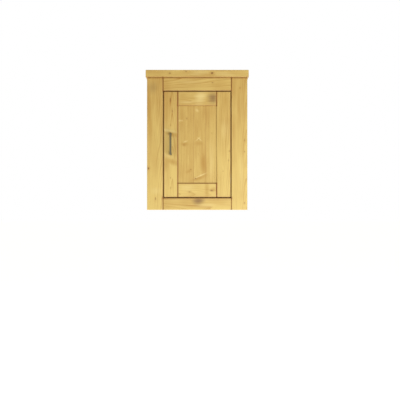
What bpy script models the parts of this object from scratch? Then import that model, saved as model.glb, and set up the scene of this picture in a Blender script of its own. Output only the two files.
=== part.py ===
"""Hanging wall cabinet of solid pine with one inset door.

The carcass is two side panels, a floor, a thick cap board, a tongued-and-grooved back and two rails
behind it. A face frame closes the front, and a framed door with a loose panel sits inside that frame.
The door swings on two concealed cup hinges. Each has one pivot pin across its cup, and a cranked arm
that leads out of the cup, round the door's edge, to a mounting plate inside the cabinet.

Metres, +Z up. The wall is the plane y = 0 and the front looks towards -Y. The origin is the middle of
the hanging rail's back face. +X is the hinge side.
"""

import math

import bmesh
import bpy
from mathutils import Matrix, Vector

MM = 0.001

# Overall sizes
BODY_WIDTH = 486 * MM
BODY_HEIGHT = 640 * MM  # without the cap board
BODY_DEPTH = 300 * MM

# Gaps
GLUE_GAP = 0.3 * MM  # between faces that touch, and round a pin in its hole
DOOR_GAP = 3.5 * MM  # all round the door
SWING_CLEARANCE = 0.6 * MM  # left between the turning door edge and the face frame

# Carcass
PANEL_THICKNESS = 18 * MM
CAP_THICKNESS = 36 * MM
CAP_SIDE_OVERHANG = 6 * MM
CAP_FRONT_OVERHANG = 10 * MM
JOINT_DEPTH = 6 * MM  # how far a groove or dado goes into a side panel
BACK_THICKNESS = 10 * MM
BACK_RECESS = 18 * MM  # from the wall to the back boards, taken up by the two rails
BACK_BOARD_COUNT = 5
BACK_BOARD_RISE = 12 * MM  # from the lower end of the sides to that of the back boards
TONGUE_THICKNESS = 3.2 * MM
TONGUE_LENGTH = 5 * MM
BOARD_CHAMFER = 1.5 * MM
HANGING_RAIL_HEIGHT = 66 * MM
LOWER_RAIL_HEIGHT = 50 * MM

# Face frame
FRAME_STILE_WIDTH = 77.5 * MM
FRAME_TOP_RAIL = 63 * MM
FRAME_BOTTOM_RAIL = 58 * MM
TENON_LENGTH = 15 * MM
TENON_THICKNESS = 8 * MM
TENON_SHOULDER = 10 * MM

# Door
DOOR_THICKNESS = 22 * MM
CATCH_ROOM = 2 * MM  # from the door's back to the face frame's, for the catch and the bumpers
DOOR_STILE_WIDTH = 68 * MM
DOOR_RAIL_WIDTH = 67.5 * MM
DOOR_GROOVE_DEPTH = 9.6 * MM
DOOR_TONGUE_THICKNESS = 6 * MM
DOOR_PANEL_THICKNESS = 12 * MM
DOOR_PANEL_MARGIN = 0.6 * MM  # round the panel, in its groove and beside the frame

# Rounded edges
FRONT_EASE = 3 * MM
SMALL_EASE = 1.5 * MM
EASE_SEGMENTS = 2

# Laths behind the face frame
LATH_THICKNESS = 18 * MM
HINGE_LATH_DEPTH = 60 * MM
STOP_LATH_WIDTH = 40 * MM
STOP_OVERLAP = 18 * MM  # how far the stop lath stands into the opening

# Shelf
SHELF_THICKNESS = 18 * MM
SHELF_SETBACK = 4 * MM  # behind the hinge lath
SHELF_BACK_GAP = 1 * MM
SHELF_PIN_RADIUS = 2.4 * MM
SHELF_PIN_SHANK = 9 * MM  # in the side panel
SHELF_PIN_REACH = 8 * MM  # under the shelf
SHELF_COLLAR_RADIUS = 4 * MM
SHELF_COLLAR_THICKNESS = 1.2 * MM
SHELF_HOLE_SPACING = 32 * MM
SHELF_HOLE_ROWS = 5
SHELF_PIN_INSET = 30 * MM  # from the shelf's front and rear edges

# Cup hinges. Distances back are from the pivot pin towards the wall.
HINGE_END_DISTANCE = 92 * MM  # from each end of the door to a hinge's middle
PIVOT_BELOW_BACK = 9 * MM  # from the door's back face in to the pivot pin
PIN_RADIUS = 1.5 * MM
PIN_CLEARANCE = 0.08 * MM  # round the pin in the arm's eye
PIN_HEAD_RADIUS = 2.4 * MM
PIN_HEAD_HEIGHT = 1 * MM
EYE_RADIUS = 3.2 * MM
EYE_CLEARANCE = 0.5 * MM  # between the eye and the cup's floor
CUP_RADIUS = 17.3 * MM
CUP_WALL = 1 * MM
CUP_OFFSET = 3.7 * MM  # from the pivot pin to the cup's middle, away from the door's edge
CUP_FLOOR = 0.8 * MM
FLANGE_THICKNESS = 1.2 * MM
FLANGE_LIP = 1.6 * MM
WING_WIDTH = 13 * MM
CUP_SCREW_SPACING = 48 * MM
CUP_SCREW_OFFSET = 6 * MM  # from the cup's middle, away from the door's edge
LUG_THICKNESS = 4 * MM
LUG_WIDTH = 9 * MM
LUG_ABOVE_PIN = 4.5 * MM
ARM_HEIGHT = 12 * MM
ARM_THICKNESS = 3 * MM
ARM_SIDE = 15 * MM  # from the pin across to the arm's run outside the cup
ARM_REACH = 26.5 * MM  # back to the arm's run across to the plate
ARM_END = 62 * MM
ARM_BEND = 6 * MM
ARM_NECK_BEND = 3 * MM
ARM_RIM_CLEARANCE = 0.6 * MM  # between the arm's upper and lower edges and the cup's rim
PLATE_START = 35 * MM
PLATE_THICKNESS = 5.5 * MM
PLATE_HEIGHT = 13 * MM
PLATE_WING_THICKNESS = 2 * MM
PLATE_WING_BACK = 45 * MM
PLATE_SCREW_SPACING = 32 * MM
ARM_SCREW_BACK = 55 * MM
WING_END = 6.5 * MM  # from a wing's outer screw to its end

# Screws
SCREW_RADIUS = 1.8 * MM
SCREW_HEAD_RADIUS = 3.3 * MM
SCREW_HEAD_HEIGHT = 1.8 * MM
SCREW_LENGTH = 14 * MM
CUP_SCREW_LENGTH = 11 * MM
ARM_SCREW_LENGTH = 8 * MM
SCREW_TIP = 3 * MM
RECESS_WIDTH = 1 * MM
RECESS_LENGTH = 3.4 * MM
RECESS_DEPTH = 0.8 * MM

# Handle
HANDLE_SPACING = 96 * MM
HANDLE_WIDTH = 9 * MM
HANDLE_LEG = 10 * MM
HANDLE_BAR = 5 * MM
HANDLE_PROJECTION = 30 * MM
HANDLE_CORNER = 4 * MM
HANDLE_INNER_CORNER = 3 * MM
HANDLE_SCREW_RADIUS = 2 * MM
HANDLE_HEAD_RADIUS = 4 * MM
HANDLE_HEAD_HEIGHT = 2.4 * MM
HANDLE_SCREW_BITE = 9 * MM  # how far a screw goes into its leg

# Catch and bumpers, in the room between the stop lath and the door
CATCH_INSET = 7.5 * MM  # from the door's free edge to the middle of each
MAGNET_RADIUS = 4.5 * MM
MAGNET_LENGTH = 12 * MM
MAGNET_RIM_RADIUS = 5.6 * MM
MAGNET_RIM_THICKNESS = 0.6 * MM
STRIKE_RADIUS = 6 * MM
STRIKE_THICKNESS = 0.8 * MM
SPIKE_RADIUS = 1.5 * MM
SPIKE_LENGTH = 8 * MM
BUMPER_RADIUS = 4.5 * MM
BUMPER_TOP_RADIUS = 3.8 * MM
BUMPER_END_DISTANCE = 40 * MM  # from each end of the door

# Keyhole hangers, let into the hanging rail
HANGER_SPACING = 380 * MM
HANGER_WIDTH = 20 * MM
HANGER_HEIGHT = 56 * MM
HANGER_THICKNESS = 2.5 * MM
HANGER_CORNER = 4 * MM
HANGER_SINK = 0.2 * MM  # from the wall to the plate
KEYHOLE_ENTRY_RADIUS = 5.5 * MM
KEYHOLE_SLOT_RADIUS = 2.6 * MM
KEYHOLE_TRAVEL = 13 * MM
HEAD_ROOM_DEPTH = 12 * MM  # of the notch behind each plate, open at the rail's end
HEAD_ROOM_MARGIN = 1.5 * MM  # round the keyhole
HANGER_SCREW_MARGIN = 7 * MM  # from the plate's ends to its screws
HANGER_HEAD_HEIGHT = 1.1 * MM

# Facets
SMALL_SIDES = 12
ROUND_SIDES = 20
EYE_SIDES = 24
CUP_SIDES = 32
BEND_STEPS = 4
OVERRUN = 5 * MM  # how far a cutter passes the surface it cuts

# Places that follow from the sizes
HALF_WIDTH = BODY_WIDTH / 2
SIDE_INNER = HALF_WIDTH - PANEL_THICKNESS
BODY_TOP = HANGING_RAIL_HEIGHT / 2
BODY_BOTTOM = BODY_TOP - BODY_HEIGHT
FRONT = -BODY_DEPTH
FRAME_THICKNESS = DOOR_THICKNESS + CATCH_ROOM
FRAME_BACK = FRONT + FRAME_THICKNESS
INSIDE_FRONT = FRAME_BACK + GLUE_GAP
BACK_FRONT = -BACK_RECESS - BACK_THICKNESS
RAIL_FRONT = -BACK_RECESS + GLUE_GAP
OPENING_HALF = HALF_WIDTH - FRAME_STILE_WIDTH
OPENING_TOP = BODY_TOP - FRAME_TOP_RAIL
OPENING_BOTTOM = BODY_BOTTOM + FRAME_BOTTOM_RAIL
BACK_BOTTOM = BODY_BOTTOM + BACK_BOARD_RISE
LATH_BOTTOM = OPENING_BOTTOM + GLUE_GAP

DOOR_BACK = FRONT + DOOR_THICKNESS
DOOR_HALF = OPENING_HALF - DOOR_GAP
DOOR_TOP = OPENING_TOP - DOOR_GAP
DOOR_BOTTOM = OPENING_BOTTOM + DOOR_GAP
DOOR_MIDDLE = (DOOR_TOP + DOOR_BOTTOM) / 2
DOOR_INNER_HALF = DOOR_HALF - DOOR_STILE_WIDTH
DOOR_INNER_TOP = DOOR_TOP - DOOR_RAIL_WIDTH
DOOR_INNER_BOTTOM = DOOR_BOTTOM + DOOR_RAIL_WIDTH
DOOR_CORE = (FRONT + DOOR_BACK) / 2
HANDLE_X = -(DOOR_HALF + DOOR_INNER_HALF) / 2
CATCH_X = -(DOOR_HALF - CATCH_INSET)

# The pivot lies just far enough in from the door's edge for its rounded front arris to clear the frame.
PIVOT_FROM_FRONT = DOOR_THICKNESS - PIVOT_BELOW_BACK
SWING_ROOM = DOOR_GAP - SWING_CLEARANCE
ARRIS_DROP = PIVOT_FROM_FRONT - FRONT_EASE
PIVOT_FROM_EDGE = FRONT_EASE + (ARRIS_DROP**2 - SWING_ROOM**2) / (2 * SWING_ROOM)
PIVOT = Vector((DOOR_HALF - PIVOT_FROM_EDGE, FRONT + PIVOT_FROM_FRONT, 0))
CUP_X = PIVOT.x - CUP_OFFSET
CUP_INSIDE_DEPTH = PIVOT_BELOW_BACK + EYE_RADIUS + EYE_CLEARANCE
CUP_DEPTH = CUP_INSIDE_DEPTH + CUP_FLOOR
FLANGE_TOP = GLUE_GAP + FLANGE_THICKNESS
# The arm leans away from the door's back face just enough to pass over the cup's rim.
RIM_HALF = math.sqrt((CUP_RADIUS - CUP_WALL) ** 2 - (ARM_HEIGHT / 2) ** 2)
RIM_PLACE = Vector((CUP_OFFSET + RIM_HALF - ARM_RIM_CLEARANCE, PIVOT_BELOW_BACK + FLANGE_TOP))
ARM_LEAN = math.atan2(RIM_PLACE.y, RIM_PLACE.x) + math.asin(ARM_THICKNESS / 2 / RIM_PLACE.length)
HINGES = {"upper": DOOR_TOP - HINGE_END_DISTANCE, "lower": DOOR_BOTTOM + HINGE_END_DISTANCE}
PLATE_FOOT = DOOR_GAP + PIVOT_FROM_EDGE - GLUE_GAP  # from the pivot across to the plate's underside
ARM_FOOT = PLATE_FOOT - PLATE_THICKNESS - GLUE_GAP  # from the pivot across to the arm's underside
HINGE_LATH_BACK = INSIDE_FRONT + HINGE_LATH_DEPTH

SHELF_FRONT = HINGE_LATH_BACK + SHELF_SETBACK
SHELF_REAR = BACK_FRONT - SHELF_BACK_GAP
SHELF_HALF = SIDE_INNER - SHELF_COLLAR_THICKNESS - 2 * GLUE_GAP
SHELF_UNDER = (OPENING_TOP + OPENING_BOTTOM - SHELF_THICKNESS) / 2
SHELF_PIN_Z = SHELF_UNDER - GLUE_GAP - SHELF_PIN_RADIUS
SHELF_PIN_Y = {"front": SHELF_FRONT + SHELF_PIN_INSET, "rear": SHELF_REAR - SHELF_PIN_INSET}

FACES = {
    "left": Vector((-1, 0, 0)),
    "right": Vector((1, 0, 0)),
    "front": Vector((0, -1, 0)),
    "back": Vector((0, 1, 0)),
    "bottom": Vector((0, 0, -1)),
    "top": Vector((0, 0, 1)),
}

# Each turns an object so that its local +Z points along the axis in the name.
TO_Z = Matrix.Identity(4)
TO_RIGHT = Matrix.Rotation(math.radians(90), 4, "Y")
TO_LEFT = Matrix.Rotation(math.radians(-90), 4, "Y")
TO_WALL = Matrix.Rotation(math.radians(-90), 4, "X")
TO_FRONT = Matrix.Rotation(math.radians(90), 4, "X")


def clear_scene():
    for obj in list(bpy.data.objects):
        bpy.data.objects.remove(obj)


def make_material(name, colour, roughness, metallic=0.0):
    material = bpy.data.materials.new(name)
    material.use_nodes = True
    shader = material.node_tree.nodes["Principled BSDF"]
    shader.inputs["Base Color"].default_value = (*colour, 1.0)
    shader.inputs["Roughness"].default_value = roughness
    shader.inputs["Metallic"].default_value = metallic
    return material


def make_empty(name, location):
    empty = bpy.data.objects.new(name, None)
    empty.location = location
    bpy.context.scene.collection.objects.link(empty)
    return empty


def shade(mesh):
    """Round faces smooth, with every corner over 35 degrees kept sharp."""
    mesh.shade_smooth()
    mesh.set_sharp_from_angle(angle=math.radians(35))
    return mesh


def mesh_from(bm, name):
    """A mesh from the bmesh, which is freed."""
    bmesh.ops.recalc_face_normals(bm, faces=bm.faces)
    mesh = bpy.data.meshes.new(name)
    bm.to_mesh(mesh)
    bm.free()
    return shade(mesh)


def place(name, mesh, location, parent, material, turn=TO_Z):
    """An object at that world location, with its local axes turned, under the parent empty."""
    obj = bpy.data.objects.new(name, mesh)
    mesh.materials.clear()
    mesh.materials.append(material)
    bpy.context.scene.collection.objects.link(obj)
    obj.parent = parent
    obj.matrix_basis = Matrix.Translation(Vector(location) - parent.location) @ turn
    return obj


def tool(bm, location, turn=TO_Z):
    """A cutter or an addition for a Boolean, which isn't part of the object."""
    obj = bpy.data.objects.new("tool", mesh_from(bm, "tool"))
    bpy.context.scene.collection.objects.link(obj)
    obj.matrix_basis = Matrix.Translation(location) @ turn
    obj.hide_render = True
    obj.display_type = "WIRE"
    return obj


def combine(obj, operation, others):
    for other in others:
        modifier = obj.modifiers.new(operation.lower(), "BOOLEAN")
        modifier.operation = operation
        modifier.object = other
        modifier.solver = "EXACT"
    return obj


def cut(obj, *cutters):
    return combine(obj, "DIFFERENCE", cutters)


def join(obj, *additions):
    return combine(obj, "UNION", additions)


def settled(obj, name):
    """The object's mesh with its Booleans applied, for several objects to share. The object goes."""
    bpy.context.view_layer.update()
    graph = bpy.context.evaluated_depsgraph_get()
    mesh = bpy.data.meshes.new_from_object(obj.evaluated_get(graph))
    mesh.name = name
    for used in [modifier.object for modifier in obj.modifiers]:
        bpy.data.objects.remove(used)
    bpy.data.objects.remove(obj)
    return shade(mesh)


def box_bmesh(size, ease=0.0, eased=tuple(FACES), sharp=()):
    """A centred box. The edges of the faces in eased are rounded, except those shared with one in sharp."""
    bm = bmesh.new()
    bmesh.ops.create_cube(bm, size=1.0)
    bmesh.ops.scale(bm, vec=size, verts=bm.verts)
    bm.normal_update()
    if ease:
        rounded = [edge for edge in bm.edges if touches(edge, eased) and not touches(edge, sharp)]
        bmesh.ops.bevel(
            bm, geom=rounded, offset=ease, segments=EASE_SEGMENTS, profile=0.5, affect="EDGES"
        )
    return bm


def touches(edge, names):
    return any(face.normal.dot(FACES[name]) > 0.9 for face in edge.link_faces for name in names)


def box_between(low, high, *rounding):
    """(bmesh, middle) of the box between two corners, given in either order."""
    low, high = Vector(low), Vector(high)
    size = Vector(abs(side) for side in high - low)
    return box_bmesh(size, *rounding), (low + high) / 2


def board(name, low, high, parent, material, *rounding):
    bm, middle = box_between(low, high, *rounding)
    return place(name, mesh_from(bm, name), middle, parent, material)


def box_tool(low, high):
    return tool(*box_between(low, high))


def rod_bmesh(radius, low, high, sides=SMALL_SIDES, places=((0, 0),)):
    """Closed cylinders along local Z, one at each place."""
    bm = bmesh.new()
    for x, y in places:
        bmesh.ops.create_cone(
            bm,
            cap_ends=True,
            segments=sides,
            radius1=radius,
            radius2=radius,
            depth=high - low,
            matrix=Matrix.Translation((x, y, (low + high) / 2)),
        )
    return bm


def blind_hole(radius, depth, location, turn, sides=SMALL_SIDES):
    """A cutter for a hole sunk against the direction that the turn gives."""
    return tool(rod_bmesh(radius, -depth, OVERRUN, sides), location, turn)


def turned_bmesh(profile, sides):
    """A solid of revolution about local Z, from (radius, height) points that start and end on the axis."""
    bm = bmesh.new()
    rings = []
    for radius, height in profile:
        if radius == 0:
            rings.append([bm.verts.new((0, 0, height))] * sides)
            continue
        angles = [math.tau * index / sides for index in range(sides)]
        rings.append([bm.verts.new((radius * math.cos(a), radius * math.sin(a), height)) for a in angles])
    for lower, upper in zip(rings, rings[1:], strict=False):
        for index in range(sides):
            after = (index + 1) % sides
            around = [lower[index], lower[after], upper[after], upper[index]]
            bm.faces.new(list(dict.fromkeys(around)))
    return bm


def drawn_bmesh(outline, low, high):
    """The outline in local XY drawn out along local Z."""
    bm = bmesh.new()
    lower = [bm.verts.new((x, y, low)) for x, y in outline]
    upper = [bm.verts.new((x, y, high)) for x, y in outline]
    bm.faces.new(lower)
    bm.faces.new(upper)
    for index in range(len(outline)):
        after = (index + 1) % len(outline)
        bm.faces.new([lower[index], lower[after], upper[after], upper[index]])
    return bm


def rounded_path(points, radii):
    """The points joined by straight lines, with each corner between them rounded by its radius."""
    path = [Vector(points[0])]
    for before, corner, after, radius in zip(points, points[1:], points[2:], radii, strict=False):
        corner = Vector(corner)
        back = (Vector(before) - corner).normalized()
        ahead = (Vector(after) - corner).normalized()
        half = back.angle(ahead) / 2
        middle = corner + (back + ahead).normalized() * radius / math.sin(half)
        start = (corner + back * radius / math.tan(half) - middle).normalized()
        end = (corner + ahead * radius / math.tan(half) - middle).normalized()
        path += [middle + radius * start.slerp(end, step / BEND_STEPS) for step in range(BEND_STEPS + 1)]
    path.append(Vector(points[-1]))
    return path


def strip(path, width):
    """The outline of a strip of that width along a path of 2-D points."""
    left, right = [], []
    for index, point in enumerate(path):
        ahead = path[min(index + 1, len(path) - 1)] - path[max(index - 1, 0)]
        side = Vector((-ahead.y, ahead.x)).normalized() * width / 2
        left.append(point + side)
        right.append(point - side)
    return left + right[::-1]


def screw_mesh(name, length, radius=SCREW_RADIUS, head_radius=SCREW_HEAD_RADIUS, head=SCREW_HEAD_HEIGHT):
    """A pan-head screw with a cross recess. Local +Z points out of its head, with z = 0 under the head."""
    profile = (
        (0, -length),
        (0.35 * radius, -length),
        (radius, -length + SCREW_TIP),
        (radius, 0),
        (head_radius, 0),
        (head_radius, 0.5 * head),
        (0.75 * head_radius, head),
        (0, head),
    )
    scene_root = bpy.context.scene.collection
    obj = bpy.data.objects.new(name, mesh_from(turned_bmesh(profile, SMALL_SIDES), name))
    scene_root.objects.link(obj)
    half, arm = RECESS_WIDTH / 2, RECESS_LENGTH / 2
    quarter = ((half, half), (half, arm), (-half, arm))
    turns = [Matrix.Rotation(math.radians(90) * index, 2) for index in range(4)]
    cross = [turn @ Vector(point) for turn in turns for point in quarter]
    cut(obj, tool(drawn_bmesh(cross, head - RECESS_DEPTH, head + OVERRUN), Vector()))
    return settled(obj, name)


# Carcass


def build_side(name, sign, parent, pine):
    """A side panel, grooved for the back, dadoed for the floor and drilled for the shelf pins."""
    inner = sign * SIDE_INNER
    inside = "left" if sign > 0 else "right"
    side = board(
        name,
        (inner, INSIDE_FRONT, BODY_BOTTOM),
        (sign * HALF_WIDTH, 0, BODY_TOP),
        parent,
        pine,
        SMALL_EASE,
        tuple(FACES),
        ("front", "top", inside),
    )
    mouth = inner - sign * OVERRUN
    joint_end = inner + sign * JOINT_DEPTH
    groove = box_tool(
        (mouth, BACK_FRONT - GLUE_GAP, BODY_BOTTOM - OVERRUN),
        (joint_end, -BACK_RECESS + GLUE_GAP, BODY_TOP + OVERRUN),
    )
    dado = box_tool(
        (mouth, INSIDE_FRONT - OVERRUN, OPENING_BOTTOM - PANEL_THICKNESS - GLUE_GAP),
        (joint_end, BACK_FRONT, OPENING_BOTTOM + GLUE_GAP),
    )
    middle_row = (SHELF_HOLE_ROWS - 1) / 2
    rows = [(row - middle_row) * SHELF_HOLE_SPACING for row in range(SHELF_HOLE_ROWS)]
    places = [(row, y) for row in rows for y in SHELF_PIN_Y.values()]
    radius = SHELF_PIN_RADIUS + GLUE_GAP
    holes = rod_bmesh(radius, -OVERRUN, SHELF_PIN_SHANK + GLUE_GAP, SMALL_SIDES, places)
    turn = TO_RIGHT if sign > 0 else TO_LEFT
    cut(side, groove, dado, tool(holes, Vector((inner, 0, SHELF_PIN_Z)), turn))


def build_back(parent, pine):
    """Tongued-and-grooved boards side by side, chamfered on the face that shows inside."""
    half = SIDE_INNER + JOINT_DEPTH - GLUE_GAP
    pitch = (2 * half + GLUE_GAP) / BACK_BOARD_COUNT
    core = BACK_FRONT + BACK_THICKNESS / 2
    tongue = TONGUE_THICKNESS / 2
    groove = tongue + GLUE_GAP
    for number in range(BACK_BOARD_COUNT):
        left = -half + number * pitch
        right = left + pitch - GLUE_GAP
        outline = [(left + BOARD_CHAMFER, BACK_FRONT), (right - BOARD_CHAMFER, BACK_FRONT)]
        outline.append((right, BACK_FRONT + BOARD_CHAMFER))
        if number < BACK_BOARD_COUNT - 1:
            outline += [
                (right, core - tongue),
                (right + TONGUE_LENGTH, core - tongue),
                (right + TONGUE_LENGTH, core + tongue),
                (right, core + tongue),
            ]
        outline += [(right, -BACK_RECESS), (left, -BACK_RECESS)]
        if number > 0:
            outline += [
                (left, core + groove),
                (left + TONGUE_LENGTH, core + groove),
                (left + TONGUE_LENGTH, core - groove),
                (left, core - groove),
            ]
        outline.append((left, BACK_FRONT + BOARD_CHAMFER))
        name = f"back_board_{number + 1}"
        middle = Vector(((left + right) / 2, core))
        moved = [Vector(point) - middle for point in outline]
        half_height = (BODY_TOP - BACK_BOTTOM) / 2
        mesh = mesh_from(drawn_bmesh(moved, -half_height, half_height), name)
        place(name, mesh, (*middle, (BODY_TOP + BACK_BOTTOM) / 2), parent, pine)


def build_carcass(parent, pine):
    build_side("side_left", -1, parent, pine)
    build_side("side_right", 1, parent, pine)
    board(
        "cap_board",
        (-HALF_WIDTH - CAP_SIDE_OVERHANG, FRONT - CAP_FRONT_OVERHANG, BODY_TOP + GLUE_GAP),
        (HALF_WIDTH + CAP_SIDE_OVERHANG, 0, BODY_TOP + GLUE_GAP + CAP_THICKNESS),
        parent,
        pine,
        FRONT_EASE,
        tuple(FACES),
        ("back",),
    )
    floor_half = SIDE_INNER + JOINT_DEPTH - GLUE_GAP
    board(
        "floor_panel",
        (-floor_half, INSIDE_FRONT, OPENING_BOTTOM - PANEL_THICKNESS),
        (floor_half, BACK_FRONT - GLUE_GAP, OPENING_BOTTOM),
        parent,
        pine,
    )
    build_back(parent, pine)
    rail_half = SIDE_INNER - GLUE_GAP
    board(
        "lower_rail",
        (-rail_half, RAIL_FRONT, BACK_BOTTOM),
        (rail_half, 0, BACK_BOTTOM + LOWER_RAIL_HEIGHT),
        parent,
        pine,
        SMALL_EASE,
        ("back",),
    )


# Hanging rail and its hangers


def keyhole_outline():
    """Head-sized entry below, and shank-sized slot above it."""
    slot, entry = KEYHOLE_SLOT_RADIUS, KEYHOLE_ENTRY_RADIUS
    half = KEYHOLE_TRAVEL / 2
    narrow = math.asin(slot / entry)
    outline = []
    for step in range(ROUND_SIDES // 2 + 1):
        angle = math.pi * step / (ROUND_SIDES // 2)
        outline.append((slot * math.cos(angle), half + slot * math.sin(angle)))
    sweep = math.tau - 2 * narrow
    for step in range(ROUND_SIDES + 1):
        angle = math.pi / 2 + narrow + sweep * step / ROUND_SIDES
        outline.append((entry * math.cos(angle), -half + entry * math.sin(angle)))
    return outline


def rounded_rectangle(width, height, corner):
    outline = []
    for x, y, start in ((1, 1, 0), (-1, 1, 90), (-1, -1, 180), (1, -1, 270)):
        middle = Vector((x * (width / 2 - corner), y * (height / 2 - corner)))
        for step in range(BEND_STEPS + 1):
            angle = math.radians(start + 90 * step / BEND_STEPS)
            outline.append(middle + corner * Vector((math.cos(angle), math.sin(angle))))
    return outline


def build_hangers(parent, pine, steel):
    rail_half = SIDE_INNER - GLUE_GAP
    rail = board(
        "hanging_rail",
        (-rail_half, RAIL_FRONT, -HANGING_RAIL_HEIGHT / 2),
        (rail_half, 0, HANGING_RAIL_HEIGHT / 2),
        parent,
        pine,
        SMALL_EASE,
        ("back",),
    )
    plate_outline = rounded_rectangle(HANGER_WIDTH, HANGER_HEIGHT, HANGER_CORNER)
    grown = 2 * GLUE_GAP
    seat_outline = rounded_rectangle(HANGER_WIDTH + grown, HANGER_HEIGHT + grown, HANGER_CORNER + GLUE_GAP)
    screw_rise = HANGER_HEIGHT / 2 - HANGER_SCREW_MARGIN
    plate_depth = HANGER_SINK + HANGER_THICKNESS
    plate_mesh = mesh_from(drawn_bmesh(plate_outline, -HANGER_THICKNESS, 0), "hanger")
    template = place("hanger", plate_mesh, (0, 0, 0), parent, steel)
    head_room = HANGER_HEAD_HEIGHT + GLUE_GAP
    sinks = rod_bmesh(
        SCREW_HEAD_RADIUS + GLUE_GAP, -head_room, OVERRUN, SMALL_SIDES, ((0, screw_rise), (0, -screw_rise))
    )
    holes = rod_bmesh(
        SCREW_RADIUS + GLUE_GAP, -OVERRUN, OVERRUN, SMALL_SIDES, ((0, screw_rise), (0, -screw_rise))
    )
    keyhole = drawn_bmesh(keyhole_outline(), -OVERRUN, OVERRUN)
    cut(template, tool(keyhole, Vector()), tool(sinks, Vector()), tool(holes, Vector()))
    plate_mesh = settled(template, "hanger")
    screw = screw_mesh("hanger_screw", SCREW_LENGTH, head=HANGER_HEAD_HEIGHT)
    # The plates' outlines lie in their local XY, whose +Y becomes world +Z when local +Z faces the wall.
    turn = Matrix.Rotation(math.pi, 4, "Z") @ TO_FRONT
    for side, x in (("left", -HANGER_SPACING / 2), ("right", HANGER_SPACING / 2)):
        place(f"hanger_{side}", plate_mesh, (x, -HANGER_SINK, 0), parent, steel, turn)
        seat = tool(drawn_bmesh(seat_outline, -plate_depth - GLUE_GAP, OVERRUN), Vector((x, 0, 0)), turn)
        reach = KEYHOLE_ENTRY_RADIUS + HEAD_ROOM_MARGIN
        notch_ends = sorted((x - math.copysign(reach, x), math.copysign(rail_half + OVERRUN, x)))
        notch_half = KEYHOLE_TRAVEL / 2 + reach
        notch = box_tool(
            (notch_ends[0], -HEAD_ROOM_DEPTH, -notch_half), (notch_ends[1], OVERRUN, notch_half)
        )
        cut(rail, seat, notch)
        head_under = -HANGER_SINK - HANGER_HEAD_HEIGHT
        for level, z in (("upper", screw_rise), ("lower", -screw_rise)):
            place(f"hanger_screw_{side}_{level}", screw, (x, head_under, z), parent, steel, TO_WALL)
            where = Vector((x, head_under, z))
            cut(rail, blind_hole(SCREW_RADIUS + GLUE_GAP, SCREW_LENGTH + GLUE_GAP, where, TO_WALL))


# Face frame and the laths behind it


def build_frame(parent, pine):
    core = (FRONT + FRAME_BACK) / 2
    stiles = []
    for side, sign in (("left", -1), ("right", 1)):
        stiles.append(
            board(
                f"frame_stile_{side}",
                (sign * OPENING_HALF, FRONT, BODY_BOTTOM),
                (sign * HALF_WIDTH, FRAME_BACK, BODY_TOP),
                parent,
                pine,
                FRONT_EASE,
                ("front",),
            )
        )
    rail_half = OPENING_HALF - GLUE_GAP
    tenon_end = rail_half + TENON_LENGTH
    for name, low, high in (
        ("frame_rail_top", OPENING_TOP, BODY_TOP),
        ("frame_rail_bottom", BODY_BOTTOM, OPENING_BOTTOM),
    ):
        corners = (-rail_half, FRONT, low), (rail_half, FRAME_BACK, high)
        rail = board(name, *corners, parent, pine, FRONT_EASE, ("front",))
        thick = TENON_THICKNESS / 2
        tenon_low, tenon_high = low + TENON_SHOULDER, high - TENON_SHOULDER
        join(rail, box_tool((-tenon_end, core - thick, tenon_low), (tenon_end, core + thick, tenon_high)))
        room = thick + GLUE_GAP
        for sign, stile in zip((-1, 1), stiles, strict=True):
            mortise = box_tool(
                (sign * (OPENING_HALF - OVERRUN), core - room, tenon_low - GLUE_GAP),
                (sign * (tenon_end + GLUE_GAP), core + room, tenon_high + GLUE_GAP),
            )
            cut(stile, mortise)


def build_laths(parent, pine):
    """(hinge lath, stop lath), both upright behind the face frame from the floor to the cap board."""
    hinge_lath = board(
        "hinge_lath",
        (OPENING_HALF, INSIDE_FRONT, LATH_BOTTOM),
        (OPENING_HALF + LATH_THICKNESS, HINGE_LATH_BACK, BODY_TOP),
        parent,
        pine,
        SMALL_EASE,
        ("back",),
        ("top", "bottom"),
    )
    inner = STOP_OVERLAP - OPENING_HALF
    stop_lath = board(
        "stop_lath",
        (inner - STOP_LATH_WIDTH, INSIDE_FRONT, LATH_BOTTOM),
        (inner, INSIDE_FRONT + LATH_THICKNESS, BODY_TOP),
        parent,
        pine,
        SMALL_EASE,
        ("right",),
        ("top", "bottom"),
    )
    return hinge_lath, stop_lath


# Shelf


def build_shelf(parent, pine, steel):
    board(
        "shelf",
        (-SHELF_HALF, SHELF_FRONT, SHELF_UNDER),
        (SHELF_HALF, SHELF_REAR, SHELF_UNDER + SHELF_THICKNESS),
        parent,
        pine,
        SMALL_EASE,
        ("front",),
    )
    collar_top = GLUE_GAP + SHELF_COLLAR_THICKNESS
    profile = (
        (0, -SHELF_PIN_SHANK),
        (SHELF_PIN_RADIUS, -SHELF_PIN_SHANK),
        (SHELF_PIN_RADIUS, GLUE_GAP),
        (SHELF_COLLAR_RADIUS, GLUE_GAP),
        (SHELF_COLLAR_RADIUS, collar_top),
        (SHELF_PIN_RADIUS, collar_top),
        (SHELF_PIN_RADIUS, collar_top + SHELF_PIN_REACH),
        (0, collar_top + SHELF_PIN_REACH),
    )
    mesh = mesh_from(turned_bmesh(profile, SMALL_SIDES), "shelf_pin")
    for side, x, turn in (("left", -SIDE_INNER, TO_RIGHT), ("right", SIDE_INNER, TO_LEFT)):
        for level, y in SHELF_PIN_Y.items():
            place(f"shelf_pin_{side}_{level}", mesh, (x, y, SHELF_PIN_Z), parent, steel, turn)


# Door


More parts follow.
